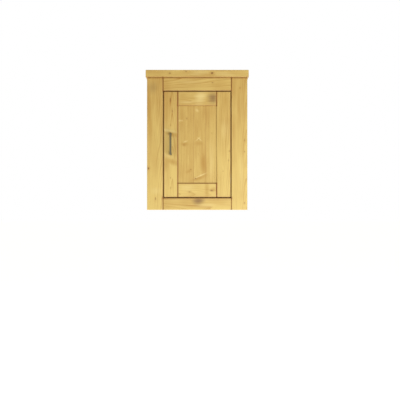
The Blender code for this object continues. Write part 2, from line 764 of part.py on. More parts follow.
def build_door(parent, pine):
    """(free stile, hinge stile). The rails' tongues and the panel sit in the stiles' grooves."""
    room = DOOR_TONGUE_THICKNESS / 2 + GLUE_GAP
    tongue = DOOR_TONGUE_THICKNESS / 2
    stiles = []
    for name, sign in (("door_stile_free", -1), ("door_stile_hinge", 1)):
        stile = board(
            name,
            (sign * DOOR_INNER_HALF, FRONT, DOOR_BOTTOM),
            (sign * DOOR_HALF, DOOR_BACK, DOOR_TOP),
            parent,
            pine,
            FRONT_EASE,
            ("front",),
        )
        groove = box_tool(
            (sign * (DOOR_INNER_HALF - OVERRUN), DOOR_CORE - room, DOOR_BOTTOM - OVERRUN),
            (sign * (DOOR_INNER_HALF + DOOR_GROOVE_DEPTH), DOOR_CORE + room, DOOR_TOP + OVERRUN),
        )
        stiles.append(cut(stile, groove))
    rail_half = DOOR_INNER_HALF - GLUE_GAP
    tongue_end = rail_half + DOOR_GROOVE_DEPTH
    for name, inner, outer in (
        ("door_rail_top", DOOR_INNER_TOP, DOOR_TOP),
        ("door_rail_bottom", DOOR_INNER_BOTTOM, DOOR_BOTTOM),
    ):
        rail = board(
            name,
            (-rail_half, FRONT, inner),
            (rail_half, DOOR_BACK, outer),
            parent,
            pine,
            FRONT_EASE,
            ("front",),
        )
        outward = math.copysign(1, outer - inner)
        tongue_outer = outer - outward * SMALL_EASE
        join(
            rail,
            box_tool(
                (-tongue_end, DOOR_CORE - tongue, inner + outward * SMALL_EASE),
                (tongue_end, DOOR_CORE + tongue, tongue_outer),
            ),
        )
        cut(
            rail,
            box_tool(
                (-tongue_end - OVERRUN, DOOR_CORE - room, inner - outward * OVERRUN),
                (tongue_end + OVERRUN, DOOR_CORE + room, inner + outward * DOOR_GROOVE_DEPTH),
            ),
        )
    field_half = DOOR_INNER_HALF - DOOR_PANEL_MARGIN
    field = DOOR_PANEL_THICKNESS / 2
    panel = board(
        "door_panel",
        (-field_half, DOOR_CORE - field, DOOR_INNER_BOTTOM + DOOR_PANEL_MARGIN),
        (field_half, DOOR_CORE + field, DOOR_INNER_TOP - DOOR_PANEL_MARGIN),
        parent,
        pine,
    )
    reach = DOOR_GROOVE_DEPTH - DOOR_PANEL_MARGIN
    join(
        panel,
        box_tool(
            (-DOOR_INNER_HALF - reach, DOOR_CORE - tongue, DOOR_INNER_BOTTOM - reach),
            (DOOR_INNER_HALF + reach, DOOR_CORE + tongue, DOOR_INNER_TOP + reach),
        ),
    )
    return stiles


def build_handle(parent, stile, dark_steel, steel):
    """A bow handle on the free stile, with a screw into each leg from behind the door."""
    half = (HANDLE_SPACING + HANDLE_LEG) / 2
    inner = half - HANDLE_LEG
    under_bar = HANDLE_PROJECTION - HANDLE_BAR
    outer_path = rounded_path(
        ((-half, 0), (-half, HANDLE_PROJECTION), (half, HANDLE_PROJECTION), (half, 0)),
        (HANDLE_CORNER, HANDLE_CORNER),
    )
    inner_path = rounded_path(
        ((inner, 0), (inner, under_bar), (-inner, under_bar), (-inner, 0)),
        (HANDLE_INNER_CORNER, HANDLE_INNER_CORNER),
    )
    bm = drawn_bmesh(outer_path + inner_path, -HANDLE_WIDTH / 2, HANDLE_WIDTH / 2)
    # Local X runs up, local Y away from the door and local Z across it.
    turn = Matrix(((0, 0, 1, 0), (0, -1, 0, 0), (1, 0, 0, 0), (0, 0, 0, 1)))
    foot = FRONT - GLUE_GAP
    middle = (HANDLE_X, foot, DOOR_MIDDLE)
    handle = place("handle", mesh_from(bm, "handle"), middle, parent, dark_steel, turn)
    head_under = DOOR_BACK + GLUE_GAP
    length = head_under - foot + HANDLE_SCREW_BITE
    screw = screw_mesh("handle_screw", length, HANDLE_SCREW_RADIUS, HANDLE_HEAD_RADIUS, HANDLE_HEAD_HEIGHT)
    for level, sign in (("upper", 1), ("lower", -1)):
        where = Vector((HANDLE_X, head_under, DOOR_MIDDLE + sign * HANDLE_SPACING / 2))
        place(f"handle_screw_{level}", screw, where, parent, steel, TO_WALL)
        radius = HANDLE_SCREW_RADIUS + GLUE_GAP
        for drilled in (stile, handle):
            cut(drilled, blind_hole(radius, length + GLUE_GAP, where, TO_WALL))


# Catch and bumpers


def build_catch(cabinet, door, stop_lath, free_stile, steel, plastic, rubber):
    """A magnet in the stop lath, its strike on the door, and a bumper near each end of the door."""
    rim_back = INSIDE_FRONT - GLUE_GAP
    magnet_profile = (
        (0, -MAGNET_LENGTH),
        (MAGNET_RADIUS, -MAGNET_LENGTH),
        (MAGNET_RADIUS, 0),
        (MAGNET_RIM_RADIUS, 0),
        (MAGNET_RIM_RADIUS, MAGNET_RIM_THICKNESS),
        (0, MAGNET_RIM_THICKNESS),
    )
    where = Vector((CATCH_X, rim_back, DOOR_MIDDLE))
    magnet = mesh_from(turned_bmesh(magnet_profile, ROUND_SIDES), "catch_magnet")
    place("catch_magnet", magnet, where, cabinet, plastic, TO_FRONT)
    hole_radius, hole_depth = MAGNET_RADIUS + GLUE_GAP, MAGNET_LENGTH + GLUE_GAP
    cut(stop_lath, blind_hole(hole_radius, hole_depth, where, TO_FRONT, ROUND_SIDES))

    strike_profile = (
        (0, -SPIKE_LENGTH),
        (SPIKE_RADIUS, -SPIKE_LENGTH + SPIKE_RADIUS),
        (SPIKE_RADIUS, 0),
        (STRIKE_RADIUS, 0),
        (STRIKE_RADIUS, STRIKE_THICKNESS),
        (0, STRIKE_THICKNESS),
    )
    where = Vector((CATCH_X, DOOR_BACK + GLUE_GAP, DOOR_MIDDLE))
    strike = mesh_from(turned_bmesh(strike_profile, ROUND_SIDES), "catch_strike")
    place("catch_strike", strike, where, door, steel, TO_WALL)
    cut(free_stile, blind_hole(SPIKE_RADIUS + GLUE_GAP, SPIKE_LENGTH + GLUE_GAP, where, TO_WALL))

    thickness = INSIDE_FRONT - DOOR_BACK - 2 * GLUE_GAP
    bumper_profile = ((0, 0), (BUMPER_RADIUS, 0), (BUMPER_TOP_RADIUS, thickness), (0, thickness))
    bumper = mesh_from(turned_bmesh(bumper_profile, ROUND_SIDES), "bumper")
    heights = {"upper": DOOR_TOP - BUMPER_END_DISTANCE, "lower": DOOR_BOTTOM + BUMPER_END_DISTANCE}
    for level, z in heights.items():
        place(f"bumper_{level}", bumper, (CATCH_X, rim_back, z), cabinet, rubber, TO_FRONT)


# Cup hinges. Each mesh below is centred on its pivot pin: local X across the cabinet, local Y back from the
# pin towards the wall and local Z up.


def hinge_template(bm, parent, steel):
    return place("template", mesh_from(bm, "template"), parent.location, parent, steel)


def wing_screws(spacing):
    return (("upper", spacing / 2), ("lower", -spacing / 2))


def cup_mesh(parent, steel):
    """The cup with its flange and wings, and two lugs that hold the pin."""
    outer = (
        (0, -CUP_DEPTH),
        (CUP_RADIUS, -CUP_DEPTH),
        (CUP_RADIUS, GLUE_GAP),
        (CUP_RADIUS + FLANGE_LIP, GLUE_GAP),
        (CUP_RADIUS + FLANGE_LIP, FLANGE_TOP),
        (0, FLANGE_TOP),
    )
    bm = turned_bmesh(outer, CUP_SIDES)
    rim = Vector((-CUP_OFFSET, PIVOT_BELOW_BACK, 0))
    bmesh.ops.transform(bm, matrix=Matrix.Translation(rim) @ TO_WALL, verts=bm.verts)
    cup = hinge_template(bm, parent, steel)
    base = parent.location
    screw_x = rim.x - CUP_SCREW_OFFSET
    wing_half = CUP_SCREW_SPACING / 2 + WING_END
    join(
        cup,
        box_tool(
            base + Vector((screw_x - WING_WIDTH / 2, rim.y + GLUE_GAP, -wing_half)),
            base + Vector((screw_x + WING_WIDTH / 2, rim.y + FLANGE_TOP, wing_half)),
        ),
    )
    cavity = rod_bmesh(CUP_RADIUS - CUP_WALL, -CUP_INSIDE_DEPTH, OVERRUN, CUP_SIDES)
    cut(cup, tool(cavity, base + rim, TO_WALL))
    lug_start = ARM_HEIGHT / 2 + GLUE_GAP
    lug_foot = rim.y - CUP_DEPTH + CUP_FLOOR / 2
    for sign in (1, -1):
        lug = box_tool(
            base + Vector((-LUG_WIDTH / 2, lug_foot, sign * lug_start)),
            base + Vector((LUG_WIDTH / 2, LUG_ABOVE_PIN, sign * (lug_start + LUG_THICKNESS))),
        )
        join(cup, lug)
    reach = lug_start + LUG_THICKNESS + GLUE_GAP
    cut(cup, tool(rod_bmesh(PIN_RADIUS + GLUE_GAP, -reach, reach), base))
    for _, z in wing_screws(CUP_SCREW_SPACING):
        hole = rod_bmesh(SCREW_RADIUS + GLUE_GAP, -OVERRUN, OVERRUN)
        cut(cup, tool(hole, base + Vector((screw_x, rim.y + FLANGE_TOP, z)), TO_WALL))
    return settled(cup, "hinge_cup")


def pin_mesh():
    half = ARM_HEIGHT / 2 + LUG_THICKNESS + 2 * GLUE_GAP
    profile = (
        (0, -half - PIN_HEAD_HEIGHT),
        (PIN_HEAD_RADIUS, -half - PIN_HEAD_HEIGHT),
        (PIN_HEAD_RADIUS, -half),
        (PIN_RADIUS, -half),
        (PIN_RADIUS, half),
        (PIN_HEAD_RADIUS, half),
        (PIN_HEAD_RADIUS, half + PIN_HEAD_HEIGHT),
        (0, half + PIN_HEAD_HEIGHT),
    )
    return mesh_from(turned_bmesh(profile, EYE_SIDES), "hinge_pin")


def arm_mesh(parent, steel):
    """The cranked arm: an eye on the pin, a neck that clears the cup's rim, and a foot along the plate."""
    foot_x = ARM_FOOT - ARM_THICKNESS / 2
    neck = Vector((-ARM_SIDE, ARM_SIDE * math.tan(ARM_LEAN)))
    half_angle = math.asin(ARM_THICKNESS / 2 / EYE_RADIUS)
    start = neck.normalized() * EYE_RADIUS * math.cos(half_angle)
    path = rounded_path(
        (start, neck, (-ARM_SIDE, ARM_REACH), (foot_x, ARM_REACH), (foot_x, ARM_END)),
        (ARM_NECK_BEND, ARM_BEND, ARM_BEND),
    )
    outline = strip(path, ARM_THICKNESS)
    # The strip's outline ends on its right-hand side where the neck leaves the eye, so the eye closes it.
    lean = math.atan2(neck.y, neck.x)
    sweep = math.tau - 2 * half_angle
    for step in range(1, EYE_SIDES):
        angle = lean - half_angle - sweep * step / EYE_SIDES
        outline.append(EYE_RADIUS * Vector((math.cos(angle), math.sin(angle))))
    half = ARM_HEIGHT / 2
    arm = hinge_template(drawn_bmesh(outline, -half, half), parent, steel)
    base = parent.location
    cut(arm, tool(rod_bmesh(PIN_RADIUS + PIN_CLEARANCE, -half - OVERRUN, half + OVERRUN, EYE_SIDES), base))
    screw_hole = rod_bmesh(SCREW_RADIUS + GLUE_GAP, -OVERRUN, OVERRUN)
    cut(arm, tool(screw_hole, base + Vector((foot_x, ARM_SCREW_BACK, 0)), TO_LEFT))
    return settled(arm, "hinge_arm")


def plate_mesh(parent, steel):
    """The mounting plate: a raised bar for the arm's foot, on two wings screwed to the lath."""
    base = parent.location
    top = PLATE_FOOT - PLATE_THICKNESS
    bm, middle = box_between(
        (top, PLATE_START, -PLATE_HEIGHT / 2), (PLATE_FOOT, ARM_END, PLATE_HEIGHT / 2)
    )
    bmesh.ops.translate(bm, vec=middle, verts=bm.verts)
    plate = hinge_template(bm, parent, steel)
    wing_half = PLATE_SCREW_SPACING / 2 + WING_END
    wing_top = PLATE_FOOT - PLATE_WING_THICKNESS
    join(
        plate,
        box_tool(
            base + Vector((wing_top, PLATE_WING_BACK - WING_WIDTH / 2, -wing_half)),
            base + Vector((PLATE_FOOT, PLATE_WING_BACK + WING_WIDTH / 2, wing_half)),
        ),
    )
    holes = [(PLATE_WING_BACK, z) for _, z in wing_screws(PLATE_SCREW_SPACING)] + [(ARM_SCREW_BACK, 0)]
    for y, z in holes:
        hole = rod_bmesh(SCREW_RADIUS + GLUE_GAP, -2 * OVERRUN, 2 * OVERRUN)
        cut(plate, tool(hole, base + Vector((PLATE_FOOT, y, z)), TO_LEFT))
    return settled(plate, "hinge_plate")


def build_hinges(cabinet, door, hinge_stile, hinge_lath, steel):
    cup, pin, arm, plate = (
        cup_mesh(door, steel),
        pin_mesh(),
        arm_mesh(door, steel),
        plate_mesh(door, steel),
    )
    cup_screw = screw_mesh("cup_screw", CUP_SCREW_LENGTH)
    plate_screw = screw_mesh("plate_screw", SCREW_LENGTH)
    arm_screw = screw_mesh("arm_screw", ARM_SCREW_LENGTH)
    screw_hole = SCREW_RADIUS + GLUE_GAP
    for level, z in HINGES.items():
        pivot = PIVOT + Vector((0, 0, z))
        place(f"hinge_cup_{level}", cup, pivot, door, steel)
        place(f"hinge_pin_{level}", pin, pivot, door, steel)
        place(f"hinge_arm_{level}", arm, pivot, cabinet, steel)
        place(f"hinge_plate_{level}", plate, pivot, cabinet, steel)

        rim = Vector((CUP_X, DOOR_BACK, z))
        cut(hinge_stile, blind_hole(CUP_RADIUS + GLUE_GAP, CUP_DEPTH + GLUE_GAP, rim, TO_WALL, CUP_SIDES))
        for end, rise in wing_screws(CUP_SCREW_SPACING):
            under = rim + Vector((-CUP_SCREW_OFFSET, FLANGE_TOP + GLUE_GAP, rise))
            place(f"cup_screw_{level}_{end}", cup_screw, under, door, steel, TO_WALL)
            cut(hinge_stile, blind_hole(screw_hole, CUP_SCREW_LENGTH + GLUE_GAP, under, TO_WALL))

        for end, rise in wing_screws(PLATE_SCREW_SPACING):
            across = PLATE_FOOT - PLATE_WING_THICKNESS - GLUE_GAP
            under = pivot + Vector((across, PLATE_WING_BACK, rise))
            place(f"plate_screw_{level}_{end}", plate_screw, under, cabinet, steel, TO_LEFT)
            cut(hinge_lath, blind_hole(screw_hole, SCREW_LENGTH + GLUE_GAP, under, TO_LEFT))
        under = pivot + Vector((ARM_FOOT - ARM_THICKNESS - GLUE_GAP, ARM_SCREW_BACK, 0))
        place(f"arm_screw_{level}", arm_screw, under, cabinet, steel, TO_LEFT)


def main():
    clear_scene()
    pine = make_material("pine", (0.62, 0.40, 0.16), 0.5)
    steel = make_material("nickelled_steel", (0.62, 0.61, 0.58), 0.3, 1.0)
    dark_steel = make_material("handle_steel", (0.28, 0.26, 0.23), 0.38, 1.0)
    plastic = make_material("catch_plastic", (0.75, 0.74, 0.70), 0.4)
    rubber = make_material("clear_rubber", (0.72, 0.72, 0.70), 0.6)

    cabinet = make_empty("cabinet", Vector())
    door = make_empty("door", PIVOT)
    build_carcass(cabinet, pine)
    build_hangers(cabinet, pine, steel)
    build_frame(cabinet, pine)
    hinge_lath, stop_lath = build_laths(cabinet, pine)
    build_shelf(cabinet, pine, steel)
    free_stile, hinge_stile = build_door(door, pine)
    build_handle(door, free_stile, dark_steel, steel)
    build_catch(cabinet, door, stop_lath, free_stile, steel, plastic, rubber)
    build_hinges(cabinet, door, hinge_stile, hinge_lath, steel)


main()
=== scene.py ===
"""Looks of the hanging wall cabinet: waxed solid pine, nickelled hinges and a dark steel bow handle.

Metres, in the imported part's frame: +X towards the hinge side, +Y into the wall, +Z up.
"""

import math

import bpy
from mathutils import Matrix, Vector


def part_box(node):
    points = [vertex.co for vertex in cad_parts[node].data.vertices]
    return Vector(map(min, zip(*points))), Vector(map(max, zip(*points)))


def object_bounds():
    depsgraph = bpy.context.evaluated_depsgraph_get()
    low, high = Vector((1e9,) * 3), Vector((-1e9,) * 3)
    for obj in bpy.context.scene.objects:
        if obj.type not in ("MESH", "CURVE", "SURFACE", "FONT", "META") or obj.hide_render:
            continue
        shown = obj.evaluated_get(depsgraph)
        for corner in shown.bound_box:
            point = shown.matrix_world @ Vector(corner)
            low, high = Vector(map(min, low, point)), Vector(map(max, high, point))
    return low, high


MM = 0.001
WHITE = (1, 1, 1, 1)

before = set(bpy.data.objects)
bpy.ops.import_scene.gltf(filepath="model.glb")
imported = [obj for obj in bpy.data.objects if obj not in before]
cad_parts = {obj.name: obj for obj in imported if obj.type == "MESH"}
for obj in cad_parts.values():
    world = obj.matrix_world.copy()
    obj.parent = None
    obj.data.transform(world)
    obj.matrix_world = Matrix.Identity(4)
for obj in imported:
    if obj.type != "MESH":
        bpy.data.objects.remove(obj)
cad_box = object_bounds()
cabinet_low, cabinet_high = cad_box
cabinet_middle = (cabinet_low + cabinet_high) / 2
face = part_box("frame_stile_left")[0].y  # the face frame's front

# Camera: level, in front of the face and below the cabinet's middle
CAMERA_DISTANCE = 3.0
CAMERA_LENS = 55.8
CAMERA_SIDEWAYS = 0.0136
CAMERA_HEIGHT = -0.559

# Studio
FLOOR_DROP = 1.1  # from the cabinet's foot down to the floor
FLOOR_SIZE = 60
FLOOR_GREY = 0.9
FLOOR_GLOW = 0.6
AMBIENT = 0.50
WARM_AMBIENT = (1.06, 1.0, 0.86, 1)
KEY_COLOUR = (0.97, 1.0, 1.06)
FILL_COLOUR = (1.0, 1.0, 1.05)


def add_camera():
    data = bpy.data.cameras.new("camera")
    data.lens = CAMERA_LENS
    camera = bpy.data.objects.new("camera", data)
    bpy.context.scene.collection.objects.link(camera)
    camera.location = (CAMERA_SIDEWAYS, face - CAMERA_DISTANCE, CAMERA_HEIGHT)
    camera.rotation_euler = (math.radians(90), 0, 0)
    bpy.context.scene.camera = camera


class Tree:
    """Adds nodes to a node tree. A value is a number, a colour, a vector or another node's socket."""

    def __init__(self, tree):
        self.tree = tree

    def add(self, kind, values=(), **settings):
        node = self.tree.nodes.new(kind)
        for name, value in settings.items():
            setattr(node, name, value)
        for key, value in dict(values).items():
            self.put(node.inputs[key], value)
        return node

    def put(self, socket, value):
        if isinstance(value, bpy.types.NodeSocket):
            self.tree.links.new(value, socket)
        else:
            socket.default_value = value

    def math(self, operation, *values, clamp=False):
        node = self.add("ShaderNodeMath", enumerate(values), operation=operation, use_clamp=clamp)
        return node.outputs[0]

    def vector(self, operation, *values):
        return self.add("ShaderNodeVectorMath", enumerate(values), operation=operation).outputs[0]

    def stretch(self, vector, along):
        """The vector squeezed along the grain, so that noise read there is drawn out along it."""
        return self.vector("MULTIPLY", vector, (1.0, 1.0, along))

    def combine(self, x, y, z):
        return self.add("ShaderNodeCombineXYZ", enumerate((x, y, z))).outputs[0]

    def separate(self, vector):
        return self.add("ShaderNodeSeparateXYZ", {0: vector}).outputs

    def smooth(self, value, start, end):
        """0 where value is at start, 1 at end, eased between."""
        values = {"Value": value, "From Min": start, "From Max": end, "To Min": 0.0, "To Max": 1.0}
        return self.add("ShaderNodeMapRange", values, interpolation_type="SMOOTHSTEP").outputs[0]

    def mix(self, share, first, second):
        """Blend two colours. Sockets 6 and 7 are the Mix node's colour pair, and output 2 its colour."""
        return self.add("ShaderNodeMix", {0: share, 6: first, 7: second}, data_type="RGBA").outputs[2]

    def root_of_squares(self, first, second):
        squares = self.math("POWER", first, 2.0), self.math("POWER", second, 2.0)
        return self.math("SQRT", self.math("ADD", *squares))

    def away(self, value, place):
        """How far the value is from that place, either way."""
        return self.math("ABSOLUTE", self.math("SUBTRACT", value, place))

    def noise(self, vector, scale, detail=2.0, roughness=0.5):
        values = {"Vector": vector, "Scale": scale, "Detail": detail, "Roughness": roughness}
        return self.add("ShaderNodeTexNoise", values).outputs

    def random(self, value):
        return self.add("ShaderNodeTexWhiteNoise", {"W": value}, noise_dimensions="1D").outputs[0]


def new_material(name):
    """A material with its node helper and its shader."""
    material = bpy.data.materials.new(name)
    material.use_nodes = True
    return material, Tree(material.node_tree), material.node_tree.nodes["Principled BSDF"]


# Pine. Inside the wood's nodes a place is (across, through, along): across the face, in from it,
# along the grain. Every share or strength runs from 0 to 1.

EARLYWOOD = (0.612, 0.446, 0.132, 1)
LATEWOOD = (0.370, 0.180, 0.027, 1)
KNOT_HEART = (0.24, 0.095, 0.022, 1)
KNOT_RIM = (0.12, 0.042, 0.012, 1)
# The staves' glue lines, and the painted shade in the front's grooves, under the cap and round the panel
SEAM_STAIN_AND_SHADE = (0.27, 0.095, 0.017, 1)
RESIN = (0.20, 0.085, 0.020, 1)
# Painted shade in the gaps round the door
GAP_SHADE = (0.24, 0.055, 0.022, 1)
GREYED = (0.25, 0.145, 0.046, 1)
AMBER = (0.40, 0.215, 0.036, 1)
PALE = (0.70, 0.55, 0.22, 1)
END_GRAIN = (0.40, 0.23, 0.060, 1)
MEAN_TONE = 0.20
SHADE_GRADIENT_MIDDLE = -0.27  # height where a board's painted shade, darker upwards, is nought
KNOT_DEPTH = 70 * MM  # how far knots and patches go in from the face
# How far in from the face the painted shade lines show
SHADE_LINE_DEPTH = 14 * MM
SEAM_GAP = 4.3 * MM  # a painted shade line also shows on the board across the gap

LATE_WEIGHT = 0.75
STREAK_WEIGHT = 0.7
BROAD_WEIGHT = 0.8
FIBRE_WEIGHT = 0.25
HALO_WEIGHT = 0.30
DUCT_SHARE = 0.20
GLUE_LINE_SHARE = 0.5

RING_TAPER = 0.03
SWAY = 20 * MM  # how far the year rings wander
SWAY_SCALE = 14.0
STREAK_SCALE = 130.0
BROAD_SCALE = 16.0
FIBRE_SCALE = 1500.0
DUCT_SCALE = 900.0
STAVE_SHIFT = 0.8  # most that a stave's figure is moved along the grain
STAVE_SWING = 0.35

# In knot radii, but for the first, which is a share
KNOT_RAGGED = 0.8
KNOT_HALO = 5.0
KNOT_BEND_ACROSS = 2.8
KNOT_BEND_ALONG = 3.5
KNOT_PUSH = 1.3

WOOD_ROUGHNESS = 0.40
WOOD_SPECULAR = 0.45
WOOD_BUMP = 0.25 * MM


def staves(n, side, along, shade, seed, seams, tones):
    """Glued-up staves: each has its own shift along the grain and its own tone.

    Returns the moved along, the changed shade and the dark glue line.
    """
    line = 0.0
    number = 0.0
    for seam in seams:
        number = n.math("ADD", number, n.math("GREATER_THAN", side, seam))
        line = n.math("MAXIMUM", line, n.smooth(n.away(side, seam), 1.3 * MM, 0.3 * MM))
    key = n.math("ADD", number, seed)
    along = n.math("MULTIPLY_ADD", n.random(key), STAVE_SHIFT, along)
    for index, value in enumerate(tones):
        here = n.math("COMPARE", number, float(index), 0.1)
        shade = n.math("MULTIPLY_ADD", here, value, shade)
    if not tones:
        swing = n.math("SUBTRACT", n.random(n.math("ADD", key, 0.71)), 0.5)
        shade = n.math("MULTIPLY_ADD", swing, STAVE_SWING, shade)
    return along, shade, line


def knots_in(n, across, along, seed, places):
    """Dark discs in the grain, with a rim and a halo, and how far they push the grain aside."""
    heart, rim, halo, push = 0.0, 0.0, 0.0, 0.0
    for (centre_across, centre_along), radius, stretch, strength in places:
        radius = radius * MM
        du = n.math("SUBTRACT", across, centre_across)
        dw = n.math("SUBTRACT", along, centre_along)
        u = n.math("DIVIDE", du, radius)
        w = n.math("DIVIDE", dw, radius * stretch)
        ragged = n.noise(n.combine(u, w, seed), 1.3, 1.0)[0]
        distance = n.root_of_squares(u, w)
        distance = n.math("MULTIPLY_ADD", n.math("SUBTRACT", ragged, 0.5), KNOT_RAGGED, distance)
        heart = n.math("MAXIMUM", heart, n.math("MULTIPLY", n.smooth(distance, 1.3, 0.5), strength))
        ring = n.math("MULTIPLY", n.smooth(distance, 0.5, 0.95), n.smooth(distance, 1.5, 1.0))
        rim = n.math("MAXIMUM", rim, n.math("MULTIPLY", ring, strength))
        halo = n.math("MAXIMUM", halo, n.math("MULTIPLY", n.smooth(distance, KNOT_HALO, 0.9), strength))
        wide = n.math("POWER", n.math("DIVIDE", du, radius * KNOT_BEND_ACROSS), 2.0)
        long = n.math("POWER", n.math("DIVIDE", dw, radius * stretch * KNOT_BEND_ALONG), 2.0)
        reach = n.math("EXPONENT", n.math("MULTIPLY", n.math("ADD", wide, long), -1.0))
        aside = n.math("MULTIPLY", n.math("SIGN", du), radius * KNOT_PUSH)
        push = n.math("MULTIPLY_ADD", reach, aside, push)
    return heart, rim, halo, push


def year_rings(n, across, through, along, sway, pith, spacing):
    """The dark late wood of shells round the pith, which sway and taper along the trunk."""
    swayed = n.separate(n.vector("ADD", n.combine(across, through, along), sway))
    from_u = n.math("SUBTRACT", swayed[0], pith[0])
    from_v = n.math("SUBTRACT", swayed[1], cabinet_low.y + pith[1])
    radius = n.root_of_squares(from_u, from_v)
    count = n.math("DIVIDE", n.math("MULTIPLY_ADD", along, RING_TAPER, radius), spacing * MM)
    phase = n.math("FRACT", count)
    late = n.math("MULTIPLY", n.math("POWER", phase, 3.0), n.smooth(phase, 1.0, 0.9))
    return n.math("MULTIPLY", late, n.math("MULTIPLY_ADD", n.random(n.math("FLOOR", count)), 0.7, 0.3))


def add_patches(n, colour, x, z, streaks, near_face, patches):
    """Soft patches of another colour, ragged along the streaks."""
    for patch_colour, strength, centre, half_sizes, degrees in patches:
        turn = math.radians(degrees)
        dx = n.math("SUBTRACT", x, centre[0])
        dz = n.math("SUBTRACT", z, centre[1])
        level = n.math("MULTIPLY_ADD", dz, math.sin(turn), n.math("MULTIPLY", dx, math.cos(turn)))
        upright = n.math("MULTIPLY_ADD", dz, math.cos(turn), n.math("MULTIPLY", dx, -math.sin(turn)))
        level = n.math("DIVIDE", level, half_sizes[0])
        upright = n.math("DIVIDE", upright, half_sizes[1])
        away = n.root_of_squares(level, upright)
        away = n.math("ADD", n.math("SUBTRACT", streaks, 0.5), away)
        share = n.math("MULTIPLY", n.smooth(away, 1.2, 0.0), strength)
        colour = n.mix(n.math("MULTIPLY", share, near_face), colour, patch_colour)
    return colour


def add_shade_lines(n, colour, place, dark_marks):
    """Painted shade: brown lines beside joints, gaps and the panel's recess, where shade falls, on the
    board's front only.
    """
    x, through, z = n.separate(place)
    uneven = n.noise(place, 60.0, 2.0)[0]
    skin = n.smooth(through, face + SHADE_LINE_DEPTH, face + 0.5 * SHADE_LINE_DEPTH)
    for (from_x, to_x), (from_z, to_z), strength, reach, shade_colour in dark_marks:
        beside = n.math("MAXIMUM", n.math("SUBTRACT", from_x, x), n.math("SUBTRACT", x, to_x))
        beyond = n.math("MAXIMUM", n.math("SUBTRACT", from_z, z), n.math("SUBTRACT", z, to_z))
        away = n.math("MAXIMUM", n.math("MAXIMUM", beside, beyond), 0.0)
        away = n.math("MULTIPLY_ADD", uneven, -1.0 * MM, away)
        line = n.math("POWER", n.smooth(away, reach * MM, 0.0), 1.5)
        line = n.math("MULTIPLY", line, skin)
        colour = n.mix(n.math("MULTIPLY", line, strength), colour, shade_colour)
    return colour


